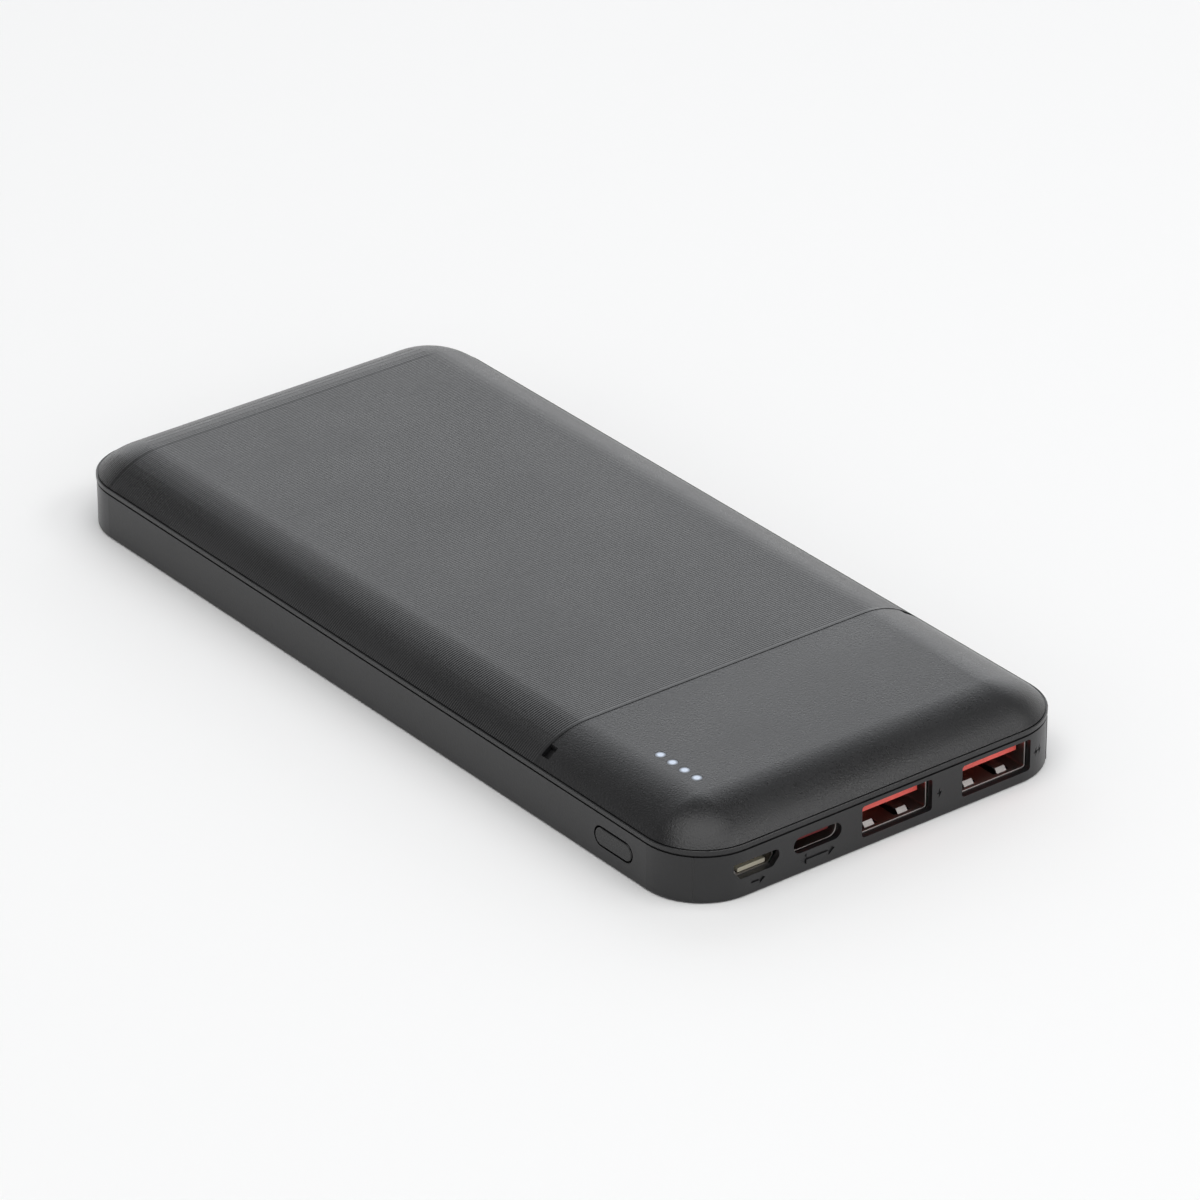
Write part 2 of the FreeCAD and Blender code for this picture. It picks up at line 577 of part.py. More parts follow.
def seam(body):
    """The shallow groove across the cover, and the deeper slot at each end of it."""
    plan = flat(body, "seam_flat_plan", y="-seam_front + seam_width / 2", z="case_height")
    rectangle(plan, "case_width - 2 * rim_width", "seam_width")
    pocket(body, "seam_flat", plan, "seam_depth")
    flat_edge = "case_width / 2 - rim_width"
    section = groove_region(body, "seam_side_plan", flat_edge, "case_width / 2 - seam_end", "seam_depth")
    side = pocket(body, "seam_side", section, "seam_width", middle=True)
    inner = "case_width / 2 - slot_end"
    deeper = groove_region(body, "seam_slot_plan", inner, "case_width / 2 - seam_end", "slot_depth")
    slot_cut = pocket(body, "seam_slot", deeper, "seam_width", middle=True)
    mirror = body.newObject("PartDesign::Mirrored", "seam_mirror")
    mirror.Originals = [side, slot_cut]
    plane = [item for item in body.Origin.OriginFeatures if item.Role == "YZ_Plane"][0]
    mirror.MirrorPlane = (plane, [""])
    body.Tip = mirror


def cover_inside(body):
    """The hollow under the roof: straight behind the lip, then sloping in under the rim."""
    inset = "(tray_inset + wall + tongue_gap + tongue_thick)"
    low = flat(body, "cover_hollow_plan", z="lip_base")
    rounded(low, "case_width - 2 * " + inset, "case_length - 2 * " + inset, "case_radius - " + inset)
    pocket(body, "cover_hollow", low, "cavity_step - lip_base", reverse=True)
    first = flat(body, "cover_slope_low", z="cavity_step")
    rounded(first, "case_width - 2 * " + inset, "case_length - 2 * " + inset, "case_radius - " + inset)
    last = flat(body, "cover_slope_high", z="case_height - roof_thick")
    rounded(last, "case_width - 2 * cavity_inset", "case_length - 2 * cavity_inset",
            "case_radius - cavity_inset")
    loft = body.newObject("PartDesign::SubtractiveLoft", "cover_slope")
    loft.Profile = first
    loft.Sections = [last]
    loft.Ruled = True
    body.Tip = loft


def cover_tongue(body):
    """The thin ring that drops inside the tray's wall."""
    outer = "(tray_inset + wall + tongue_gap)"
    inner = "(tray_inset + wall + tongue_gap + tongue_thick)"
    ring = flat(body, "cover_tongue_plan", z="tongue_base")
    rounded(ring, "case_width - 2 * " + outer, "case_length - 2 * " + outer, "case_radius - " + outer)
    pad(body, "cover_tongue", ring, "lip_base - tongue_base")
    hole = flat(body, "cover_tongue_hole_plan", z="lip_base")
    rounded(hole, "case_width - 2 * " + inner, "case_length - 2 * " + inner, "case_radius - " + inner)
    pocket(body, "cover_tongue_hole", hole, "lip_base - tongue_base")


def cover_hooks(body):
    """Snap hooks below the tongue, with barbs that sit in the tray's catches."""
    for side in (-1, 1):
        for number in range(3):
            name = "hook_%s_%d" % ("left" if side < 0 else "right", number)
            y = "hook_shift + (%d) * hook_pitch" % (number - 1)
            x = "%d * (case_width / 2 - tray_inset - wall - tongue_gap)" % side
            section = upright(body, name + "_section", x, y, "tongue_base")
            out = "%d * hook_barb" % side
            back = "%d * hook_thick" % -side
            outline(section, [(back, "0"), ("0", "0"), ("0", "-hook_drop + hook_barb * 2"),
                              (out, "-hook_drop + hook_barb"), ("0", "-hook_drop"), (back, "-hook_drop")])
            pad(body, name, section, "hook_long", middle=True)


def cover_posts(body):
    """Two posts that hold the board down."""
    for name, x in (("post_a", "post_left"), ("post_b", "post_right")):
        foot = circle(flat(body, name + "_plan", x, "-post_front", "board_top + post_gap"), "post_size")
        pad(body, name, foot, "case_height - roof_thick - board_top")


def top_cover():
    body = new_body("cover")
    plan = rounded(flat(body, "cover_plan", z="lip_base"), "case_width", "case_length", "case_radius")
    pad(body, "cover_block", plan, "case_height - lip_base")
    path = rounded(flat(body, "rim_path", z="lip_top"), "case_width", "case_length", "case_radius")
    section = rim_section(body)
    rim = body.newObject("PartDesign::SubtractivePipe", "cover_rim")
    rim.Profile = section
    rim.Spine = (path, ["Edge%d" % number for number in range(1, 9)])
    rim.Transition = "Round corner"
    body.Tip = rim
    cover_inside(body)
    cover_tongue(body)
    seam(body)
    cover_hooks(body)
    cover_posts(body)
    for number in range(4):
        y = "key_mid + (%s) * light_pitch" % (number - 1.5)
        hole = circle(flat(body, "light_hole_plan_%d" % number, "light_x", y, "case_height"), "pin_hole")
        pocket(body, "light_hole_%d" % number, hole, "roof_thick + clear_over")
    return finish(body, "top_cover")


# ---- key, switch and lights -------------------------------------------------------------------

def power_button():
    body = new_body("key")
    inner = LEFT + " + wall + key_flange_gap"
    cap = sideways(body, "key_cap_plan", "-case_width / 2", "key_mid", "key_height")
    slot(cap, "key_open_long - 2 * key_gap", "key_open_tall - 2 * key_gap")
    stem = pad(body, "key_cap", cap, "tray_inset + wall + key_flange_gap")
    outer = value("-case_width / 2")

    def outer_edge(edge):
        box = edge.BoundBox
        return abs(box.XMin - outer) < 1e-6 and abs(box.XMax - outer) < 1e-6

    round_edges(body, "key_edge", stem, outer_edge, "key_round")
    flange = sideways(body, "key_flange_plan", inner, "key_mid", "key_height")
    pad(body, "key_flange", slot(flange, "key_flange_long", "key_flange_tall"), "key_flange_thick")
    nub = sideways(body, "key_nub_plan", inner + " + key_flange_thick", "key_mid", "key_height")
    pad(body, "key_nub", rectangle(nub, "nub_wide", "nub_tall"), "nub_long")
    return finish(body, "power_button")


def switch():
    """A side-press switch: moulded body with a bore, metal cover, plunger and snap dome."""
    centre = "-switch_edge + switch_deep / 2"
    size_xyz = ("switch_deep", "switch_wide", "switch_tall - switch_sheet")
    solid = block("switch_block", size_xyz, (centre, "key_mid"), "board_top")
    bore_size = ("plunger_in + dome_gap + dome_rise + 2 * plunger_gap", "plunger_wide + 2 * plunger_gap",
                 "plunger_tall + 2 * plunger_gap")
    bore_x = "-switch_edge + (plunger_in + dome_gap + dome_rise + 2 * plunger_gap) / 2"
    bore_base = "key_height - plunger_tall / 2 - plunger_gap"
    bore = block("switch_bore", bore_size, (bore_x, "key_mid"), bore_base)
    finish(cut("switch_moulding", solid, bore), "switch_body")
    plate_size = ("switch_deep", "switch_wide", "switch_sheet")
    plate_base = "board_top + switch_tall - switch_sheet"
    plate = block("switch_plate", plate_size, (centre, "key_mid"), plate_base)
    ears = [block("switch_ear_%d" % number, ("switch_deep * 0.6", "switch_sheet", "switch_tall"),
                  (centre, "key_mid + (%d) * (switch_wide + switch_sheet) / 2" % sign), "board_top")
            for number, sign in enumerate((-1, 1))]
    finish(joined("switch_frame", [plate] + ears), "switch_cover")
    rod_size = ("plunger_in + plunger_out - plunger_gap", "plunger_wide", "plunger_tall")
    rod_x = "-switch_edge + (plunger_in - plunger_out + plunger_gap) / 2"
    rod = block("plunger_rod", rod_size, (rod_x, "key_mid"), "key_height - plunger_tall / 2")
    finish(group("plunger_group", [rod]), "switch_plunger")
    disc_size = ("dome_rise", "dome_size", "plunger_tall")
    disc_x = "-switch_edge + plunger_in + dome_gap + dome_rise / 2 + plunger_gap"
    disc = block("dome_disc", disc_size, (disc_x, "key_mid"), "key_height - plunger_tall / 2")
    finish(group("dome_group", [disc]), "switch_dome")


def lights():
    """Clear guide with four pins, black baffle around it and the four lamps on the board."""
    centre = ("light_x", "key_mid")
    bar = block("guide_bar", ("bar_wide", "bar_long", "bar_top - bar_base"), centre, "bar_base")
    pins = []
    holes = []
    lamps = []
    for number in range(4):
        spot = ("light_x", "key_mid + (%s) * light_pitch" % (number - 1.5))
        tall = "case_height - pin_recess - pin_base"
        pins.append(drum("guide_pin_%d" % number, "pin_size", tall, spot, "pin_base"))
        tall = "baffle_top - board_top + 2 * clear_over"
        holes.append(drum("baffle_hole_%d" % number, "baffle_hole", tall, spot, "board_top - clear_over"))
        lamps.append(block("lamp_%d" % number, ("led_wide", "led_long", "led_tall"), spot, "board_top"))
    finish(joined("light_guide", [bar] + pins), "led_light_guide")
    foam_size = ("baffle_wide", "baffle_long", "baffle_top - board_top")
    foam = block("baffle_block", foam_size, centre, "board_top")
    finish(cut("baffle", foam, joined("baffle_holes", holes)), "led_baffle")
    finish(group("lamps", lamps), "status_leds")


# ---- board ------------------------------------------------------------------------------------

def main_board():
    body = new_body("board")
    middle = "-(board_front + board_back) / 2"
    plan = rectangle(flat(body, "board_plan", y=middle, z="board_top - board_thick"),
                     "2 * board_side", "board_front - board_back")
    plate = pad(body, "board_plate", plan, "board_thick")
    front = value("-board_front")

    def front_corner(edge):
        box = edge.BoundBox
        return abs(box.YMin - front) < 1e-6 and abs(box.YMax - front) < 1e-6 and box.ZLength > 0.5

    round_edges(body, "board_corners", plate, front_corner, "board_round")
    for number, centre in enumerate(("usb_a_one", "usb_a_two")):
        sketch = flat(body, "board_cut_plan_%d" % number, centre, "-board_front", "board_top")
        rectangle(sketch, "board_cut_wide", "2 * board_cut_long")
        pocket(body, "board_cut_%d" % number, sketch, "board_thick")
    notch = flat(body, "key_notch_plan", "-board_side", "key_mid", "board_top")
    rectangle(notch, "2 * key_notch", "key_flange_long + 2 * key_gap * 4")
    pocket(body, "key_notch_cut", notch, "board_thick")
    for number, (x, y) in enumerate(screw_spots()):
        hole = circle(flat(body, "screw_hole_plan_%d" % number, x, y, "board_top"), "screw_hole")
        pocket(body, "screw_hole_%d" % number, hole, "board_thick")
    return finish(body, "main_board")


def screw_spots():
    return [("%d * screw_side" % side, "-screw_" + spot) for side in (-1, 1) for spot in ("front", "back")]


def board_screws():
    """Four pan-head screws with a cross recess."""
    screws = []
    for number, spot in enumerate(screw_spots()):
        name = "screw_%d" % number
        head = drum(name + "_head", "screw_head", "screw_head_tall", spot, "board_top")
        shank = drum(name + "_shank", "pilot_size", "screw_below", spot, "board_top - screw_below")
        recess_base = "board_top + screw_head_tall - driver_deep"
        blades = [block("%s_blade_%d" % (name, turn), sizes, spot, recess_base)
                  for turn, sizes in enumerate((("driver_long", "driver_wide", "clear_over"),
                                                ("driver_wide", "driver_long", "clear_over")))]
        solid = joined(name + "_solid", [head, shank])
        screws.append(cut(name, solid, joined(name + "_recess", blades)))
    finish(group("screws", screws), "board_screws")


def chips(label, lengths, spots):
    """Identical flat components standing on the board."""
    pieces = [block("%s_%d" % (label, number), lengths, spot, "board_top")
              for number, spot in enumerate(spots)]
    finish(group(label + "_group", pieces), label)


def row(first, step, count, y):
    """Places in a line along X."""
    return [("(%s) + %d * %s" % (first, number, step), y) for number in range(count)]


def board_components():
    chips("power_controller_chip", ("chip_large", "chip_large", "chip_tall"), [("-9.5", "-51.5")])
    chips("charge_control_chip", ("chip_small", "chip_small", "chip_tall"), [("-17", "-47")])
    chips("power_mosfets", ("fet_wide", "fet_long", "fet_tall"),
          [("16.6", "-54"), ("16.6", "-46.6"), ("30.6", "-56.6")])
    chips("ceramic_capacitors", ("cap_long", "cap_wide", "cap_wide"),
          row("-31", "cap_pitch", 4, "-51.4") + row("-29", "cap_pitch * 0.9", 4, "-47.4")
          + row("-12.4", "cap_pitch", 3, "-57.6") + [("-15.4", "-55.5")])
    chips("chip_resistors", ("resistor_long", "resistor_wide", "resistor_tall"),
          row("-25", "resistor_pitch", 6, "-44.5")
          + [("-17.2", "-51.5"), ("-17.2", "-53"), ("-15", "-50.6"), ("30.5", "-52"), ("30.5", "-50.4")])
    cans = [drum("polymer_can_%d" % number, "can_size", "can_tall", ("24.4", y), "board_top")
            for number, y in enumerate(("-47.6", "-55.4"))]
    finish(group("polymer_cans", cans), "polymer_capacitors")


def power_inductor():
    body = new_body("coil")
    plan = rounded(flat(body, "coil_plan", "coil_x", "coil_y", "board_top"),
                   "coil_size", "coil_size", "coil_round")
    solid = pad(body, "coil_block", plan, "coil_tall")
    bevel_edges(body, "coil_edge", solid, at_height(value("board_top + coil_tall")), "pad_thick")
    finish(body, "power_inductor")
    clips = [block("coil_clip_%d" % number, ("clip_wide", "clip_thick", "clip_tall"),
                   ("coil_x", "coil_y + (%d) * (coil_size + clip_thick) / 2" % sign), "board_top")
             for number, sign in enumerate((-1, 1))]
    finish(group("coil_clips", clips), "inductor_terminals")


# ---- ports ------------------------------------------------------------------------------------

def usb_a(tag, centre):
    """One USB-A output: shell with two spring fingers, insulator with its tongue, four contacts."""
    usb_a_shell(tag, centre)
    depth = "usb_a_long - sheet_metal"
    contacts = [usb_a_contact(tag, centre, number, offset) for number, offset in
                enumerate(("-contact_outer", "-contact_inner", "contact_inner", "contact_outer"))]
    together = group(tag + "_contact_group", contacts)
    tongue_long = "(%s) - tongue_back" % depth
    tongue = block(tag + "_tongue", ("tongue_wide", tongue_long, "tongue_tall"),
                   (centre, SHELL_FRONT + " + tongue_back + (%s) / 2" % tongue_long), "tongue_low")
    back = block(tag + "_back", ("usb_a_wide - 2 * sheet_metal - 4 * port_gap", "rear_block",
                                 "usb_a_tall - 2 * sheet_metal - 4 * port_gap"),
                 (centre, SHELL_FRONT + " + (%s) - rear_block / 2" % depth),
                 "usb_a_base + sheet_metal + 2 * port_gap")
    solid = joined(tag + "_moulding", [tongue, back])
    finish(cut(tag + "_slotted", solid, together), tag + "_insulator")
    finish(together, tag + "_contacts")


def usb_a_contact(tag, centre, number, offset):
    """A strip under the tongue that runs back through the moulding to a leg on the board."""
    name = "%s_contact_%d" % (tag, number)
    x = "(%s) + (%s)" % (centre, offset)
    start = "tongue_back + 0.6"
    long = "usb_a_long - (%s) + contact_leg" % start
    strip = block(name + "_strip", ("contact_wide", long, "contact_thick"),
                  (x, SHELL_FRONT + " + %s + (%s) / 2" % (start, long)), "tongue_low - contact_thick")
    leg = block(name + "_leg", ("contact_wide", "contact_leg", "tongue_low - board_top"),
                (x, SHELL_FRONT + " + usb_a_long + contact_leg / 2"), "board_top")
    return joined(name, [strip, leg])


# a spring finger from the side: back from the shell's mouth, up from its underside; it bows up into
# the opening between its free tip and its root behind the window
FINGER_ROOT = "window_start + window_long + 0.2"
FINGER_UPPER = [("0.5", "0.1"), ("1.3", "0.95"), ("2.1", "1.05"), (FINGER_ROOT, "sheet_metal")]
FINGER_LOWER = [(FINGER_ROOT, "0.1"), ("2.1", "0.82"), ("1.45", "0.74"), ("0.8", "0.05")]


def round_mouth(body, name, feature):
    """Rounds the sheet's edges around a shell's mouth."""
    mouth = value(SHELL_FRONT)

    def mouth_edge(edge):
        box = edge.BoundBox
        return abs(box.YMin - mouth) < 1e-6 and abs(box.YMax - mouth) < 1e-6

    return round_edges(body, name, feature, mouth_edge, "mouth_round")


def usb_a_shell(tag, centre):
    body = new_body(tag + "_shell")
    middle = "usb_a_base + usb_a_tall / 2"
    outer = upright(body, tag + "_shell_outer", centre, SHELL_FRONT, middle)
    rounded(outer, "usb_a_wide", "usb_a_tall", "usb_a_round")
    pad(body, tag + "_shell_block", outer, "usb_a_long", reverse=True)
    inner = upright(body, tag + "_shell_inner", centre, SHELL_FRONT, middle)
    rounded(inner, "usb_a_wide - 2 * sheet_metal", "usb_a_tall - 2 * sheet_metal",
            "usb_a_round - sheet_metal")
    hollow = pocket(body, tag + "_shell_hollow", inner, "usb_a_long - sheet_metal")
    round_mouth(body, tag + "_shell_mouth", hollow)
    rear = upright(body, tag + "_rear_plan", centre, SHELL_FRONT + " + usb_a_long",
                   "tongue_low - board_top / 2")
    rectangle(rear, "2 * contact_outer + 2 * contact_wide", "board_top")
    pocket(body, tag + "_rear_open", rear, "2 * sheet_metal + port_gap", middle=True)
    for side, offset in (("left", "-finger_left"), ("right", "finger_right")):
        x = "(%s) + (%s)" % (centre, offset)
        y = SHELL_FRONT + " + window_start + window_long / 2"
        window = flat(body, "%s_window_%s_plan" % (tag, side), x, y, "usb_a_base + sheet_metal")
        rectangle(window, "window_wide", "window_long")
        pocket(body, "%s_window_%s" % (tag, side), window, "sheet_metal")
        finger = sideways(body, "%s_finger_%s_plan" % (tag, side), x, SHELL_FRONT, "usb_a_base")
        outline(finger, FINGER_UPPER + FINGER_LOWER)
        pad(body, "%s_finger_%s" % (tag, side), finger, "finger_wide", middle=True)
    finish(body, tag + "_shell")


def usb_c():
    middle = "usb_c_height"
    body = new_body("usb_c_shell")
    outer = upright(body, "usb_c_shell_outer", "usb_c_mid", SHELL_FRONT, middle)
    pad(body, "usb_c_shell_block", slot(outer, "usb_c_wide", "usb_c_tall"), "usb_c_long", reverse=True)
    inner = upright(body, "usb_c_shell_inner", "usb_c_mid", SHELL_FRONT, middle)
    slot(inner, "usb_c_wide - 2 * sheet_metal", "usb_c_tall - 2 * sheet_metal")
    hollow = pocket(body, "usb_c_shell_hollow", inner, "usb_c_long - sheet_metal")
    round_mouth(body, "usb_c_shell_mouth", hollow)
    finish(body, "usb_c_shell")
    moulding = new_body("usb_c_moulding")
    back_y = SHELL_FRONT + " + usb_c_long - sheet_metal"
    back = upright(moulding, "usb_c_back_plan", "usb_c_mid", back_y, middle)
    slot(back, "usb_c_wide - 2 * sheet_metal - 2 * port_gap",
         "usb_c_tall - 2 * sheet_metal - 2 * port_gap")
    pad(moulding, "usb_c_back", back, "usb_c_block")
    tongue = upright(moulding, "usb_c_tongue_plan", "usb_c_mid", back_y, middle)
    rectangle(tongue, "usb_c_tongue_wide", "usb_c_tongue_tall")
    pad(moulding, "usb_c_tongue", tongue, "usb_c_long - sheet_metal - usb_c_tongue_back")
    finish(moulding, "usb_c_insulator")
    strips = []
    for side in (-1, 1):
        for number in range(12):
            x = "usb_c_mid + (%s) * fine_pitch" % (number - 5.5)
            base = "usb_c_height + usb_c_tongue_tall / 2"
            if side < 0:
                base = "usb_c_height - usb_c_tongue_tall / 2 - fine_thick"
            y = SHELL_FRONT + " + usb_c_tongue_back + fine_pitch + fine_long / 2"
            name = "usb_c_strip_%s_%d" % ("low" if side < 0 else "high", number)
            strips.append(block(name, ("fine_wide", "fine_long", "fine_thick"), (x, y), base))
    finish(group("usb_c_strips", strips), "usb_c_contacts")


def micro_usb():
    body = new_body("micro_shell")
    outer = upright(body, "micro_shell_outer", "micro_mid", SHELL_FRONT, "board_top")
    pad(body, "micro_shell_block", micro_outline(outer, "micro"), "micro_long", reverse=True)
    inner = upright(body, "micro_shell_inner", "micro_mid", SHELL_FRONT, "board_top")
    micro_outline(inner, "micro", "micro_sheet")
    pocket(body, "micro_shell_hollow", inner, "micro_long - micro_sheet")
    finish(body, "micro_usb_shell")
    inside = "micro_long - micro_sheet"
    tongue_base = "board_top + micro_sheet + 2 * port_gap"
    long = "(%s) - micro_sheet" % inside
    tongue = block("micro_tongue", ("micro_tongue_wide", long, "micro_tongue_tall"),
                   ("micro_mid", SHELL_FRONT + " + micro_sheet + (%s) / 2" % long), tongue_base)
    back_size = ("micro_low - 2 * micro_sheet", "micro_block", "micro_tall - 3 * micro_sheet")
    back = block("micro_back", back_size,
                 ("micro_mid", SHELL_FRONT + " + (%s) - micro_block / 2" % inside),
                 "board_top + micro_sheet * 1.5")
    finish(joined("micro_moulding", [tongue, back]), "micro_usb_insulator")
    strip_long = "(%s) - micro_block - 4 * micro_sheet" % inside
    strips = [block("micro_strip_%d" % number, ("micro_contact", strip_long, "fine_thick"),
                    ("micro_mid + (%d) * micro_pitch" % (number - 2),
                     SHELL_FRONT + " + 4 * micro_sheet + (%s) / 2" % strip_long),
                    tongue_base + " + micro_tongue_tall") for number in range(5)]
    finish(group("micro_strips", strips), "micro_usb_contacts")


# ---- cells and wiring -------------------------------------------------------------------------

CELL_MIDDLE = "cell_front + cell_long / 2"
LOWER_BASE = "floor_thick + pad_thick"
UPPER_BASE = "floor_thick + pad_thick + cell_thick + bond_thick"


def cell(label, base):
    body = new_body(label)
    plan = rectangle(flat(body, label + "_plan", y=CELL_MIDDLE, z=base), "cell_wide", "cell_long")
    solid = pad(body, label + "_block", plan, "cell_thick")

    def long_edge(edge):
        return edge.BoundBox.YLength > value("cell_long") - 1

    round_edges(body, label + "_edges", solid, long_edge, "cell_round")
    finish(body, label)


def cells():
    cell("battery_cell_lower", LOWER_BASE)
    cell("battery_cell_upper", UPPER_BASE)
    pads = [block("pad_%d" % number, ("pad_wide", "cell_long - 2 * pad_margin", "pad_thick"),
                  ("%d * pad_side" % sign, CELL_MIDDLE), "floor_thick")
            for number, sign in enumerate((-1, 1))]
    finish(group("pads", pads), "cell_adhesive_pads")
    bond = block("bond", ("bond_wide", "cell_long - 2 * pad_margin", "bond_thick"), ("0", CELL_MIDDLE),
                 LOWER_BASE + " + cell_thick")
    finish(group("bond_group", [bond]), "cell_bond_tape")
    foam = block("foam", ("foam_wide", "foam_long", "foam_thick"), ("0", CELL_MIDDLE + " + foam_shift"),
                 UPPER_BASE + " + cell_thick")
    finish(group("foam_group", [foam]), "top_foam_pad")


def cell_tabs():
    """Nickel strips from both cells to the small protection board."""
    strips = []
    for side, sign in (("plus", 1), ("minus", -1)):
        x = "%d * tab_side" % sign
        for level, base in (("low", LOWER_BASE), ("high", UPPER_BASE)):
            name = "tab_%s_%s" % (side, level)
            shift = "%d * tab_wide * %s" % (sign, "0.6" if level == "high" else "-0.6")
            spot_x = "(%s) + (%s)" % (x, shift)
            mid = "(%s) + cell_thick / 2" % base
            reach = "cell_front - guard_mid"
            arm = block(name + "_arm", ("tab_wide", reach, "tab_thick"),
                        (spot_x, "(cell_front + guard_mid) / 2"), mid)
            if level == "low":
                rise = block(name + "_rise", ("tab_wide", "tab_thick", "guard_base - (%s)" % mid),
                             (spot_x, "guard_mid"), mid)
            else:
                rise = block(name + "_rise", ("tab_wide", "tab_thick",
                                              "(%s) + tab_thick - guard_base - guard_thick" % mid),
                             (spot_x, "guard_mid"), "guard_base + guard_thick")
            strips.append(joined(name, [arm, rise]))
    finish(group("tabs", strips), "cell_tabs")


def protection():
    plate = block("guard", ("guard_long", "guard_wide", "guard_thick"), ("0", "guard_mid"), "guard_base")
    finish(group("guard_group", [plate]), "protection_board")
    top = "guard_base + guard_thick"
    lengths = ("guard_chip_long", "guard_chip_wide", "guard_chip_tall")
    spots = row("-guard_chip_pitch", "guard_chip_pitch", 3, "guard_mid")
    parts = [block("guard_chip_%d" % number, lengths, spot, top) for number, spot in enumerate(spots)]
    finish(group("guard_chips", parts), "protection_chips")
    tape = block("tape", ("tape_long", "tape_wide", "tape_thick"), ("0", "guard_mid"),
                 top + " + guard_chip_tall")
    finish(group("tape_group", [tape]), "protection_tape")


def wire(name, x, top, span, bend, diameter, end=None):
    """A wire up from the board to height top and back by span; with end, it turns down to that height."""
    body = new_body(name)
    path = sideways(body, name + "_path", x, "lead_y")
    reach = value(span)
    turn = value(bend)
    crest = value(top)
    up = FreeCAD.Vector(0, 0, 1)
    quarter = math.pi / 2
    level_end = reach if end is None else reach - turn
    near = Part.Circle(vector(turn, crest - turn), up, turn)
    path.addGeometry(Part.LineSegment(vector(0, value("board_top")), vector(0, crest - turn)), False)
    path.addGeometry(Part.ArcOfCircle(near, quarter, 2 * quarter), False)
    path.addGeometry(Part.LineSegment(vector(turn, crest), vector(level_end, crest)), False)
    fix(path, "Tangent", 0, 2, 1, 2)
    fix(path, "Tangent", 1, 1, 2, 1)
    fix(path, "Vertical", 0)
    fix(path, "Horizontal", 2)
    fix(path, "PointOnObject", 0, 1, -2)
    size(path, "DistanceY", (-1, 1, 0, 1), "board_top")
    size(path, "Radius", (1,), bend)
    size(path, "DistanceY", (-1, 1, 2, 1), top)
    if end is None:
        size(path, "DistanceX", (-1, 1, 2, 2), span)
    else:
        far = Part.Circle(vector(reach - turn, crest - turn), up, turn)
        path.addGeometry(Part.ArcOfCircle(far, 0, quarter), False)
        path.addGeometry(Part.LineSegment(vector(reach, crest - turn), vector(reach, value(end))), False)
        fix(path, "Tangent", 2, 2, 3, 2)
        fix(path, "Tangent", 3, 1, 4, 1)
        fix(path, "Vertical", 4)
        size(path, "Radius", (3,), bend)
        size(path, "DistanceX", (-1, 1, 4, 1), span)
        size(path, "DistanceY", (-1, 1, 4, 2), end)
    section = circle(flat(body, name + "_section", x, "lead_y", "board_top"), diameter)
    pipe = body.newObject("PartDesign::AdditivePipe", name + "_pipe")
    pipe.Profile = section
    pipe.Spine = (path, ["Edge%d" % (number + 1) for number in range(path.GeometryCount)])
    body.Tip = pipe
    return body


def wiring():
    guard_top = "guard_base + guard_thick"
    for label, x in (("lead_positive", "lead_plus"), ("lead_negative", "lead_minus")):
        lead = wire(label, x, "lead_top", "lead_span", "lead_bend", "lead_size", guard_top)
        finish(lead, label)
    cell_top = UPPER_BASE + " + cell_thick"
    sensor = block("sensor", ("sensor_wide", "sensor_long", "sensor_tall"), ("sensor_x", "sensor_y"),
                   cell_top)
    wires = [wire("thin_wire_%d" % number, "sensor_x + (%d) * thin_gap / 2" % sign,
                  cell_top + " + sensor_tall / 2", "sensor_y - lead_y", "thin_bend", "thin_wire")
             for number, sign in enumerate((-1, 1))]
    finish(joined("thermistor", [sensor] + wires), "cell_thermistor")


# ---- build, check and write -------------------------------------------------------------------

def check_all():
    faults = []
    for item in doc.Objects:
        if "Invalid" in item.State or "Error" in item.State:
            faults.append("%s: %s" % (item.Name, item.State))
    for part in finished:
        shape = part.Shape
        if shape.isNull() or not shape.isValid() or not shape.Solids:
            faults.append("%s: bad shape" % part.Label)
    if faults:
        raise RuntimeError("; ".join(faults))


def write_all():
    os.makedirs("parts", exist_ok=True)
    for part in finished:
        part.Shape.exportStep(os.path.join("parts", part.Label + ".step"))
        print("%-26s solids %2d volume %9.2f" % (part.Label, len(part.Shape.Solids), part.Shape.Volume))


fill_sheet()
bottom_housing()
top_cover()
power_button()
switch()
lights()
main_board()
board_screws()
board_components()
power_inductor()
usb_a("usb_a_left", "usb_a_one")
usb_a("usb_a_right", "usb_a_two")
usb_c()
micro_usb()
cells()
cell_tabs()
protection()
wiring()
doc.recompute()
check_all()
write_all()
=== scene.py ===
import json
import math

import bmesh
import bpy
from mathutils import Matrix, Vector


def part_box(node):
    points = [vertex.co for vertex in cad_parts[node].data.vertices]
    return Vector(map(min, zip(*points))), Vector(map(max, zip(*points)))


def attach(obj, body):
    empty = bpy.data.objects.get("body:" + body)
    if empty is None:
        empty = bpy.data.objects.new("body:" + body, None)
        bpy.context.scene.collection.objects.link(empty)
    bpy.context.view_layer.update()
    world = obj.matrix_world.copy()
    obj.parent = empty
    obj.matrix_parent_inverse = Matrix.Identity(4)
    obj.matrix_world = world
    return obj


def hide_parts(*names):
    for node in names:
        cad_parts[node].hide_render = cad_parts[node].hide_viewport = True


# A flat pocket power bank: black ribbed cover, plain tray, ports in the front end, a key in the left side.
# Everything is in metres, in the frame of the CAD model: X across, ports at -Y, Z up, resting on Z = 0.

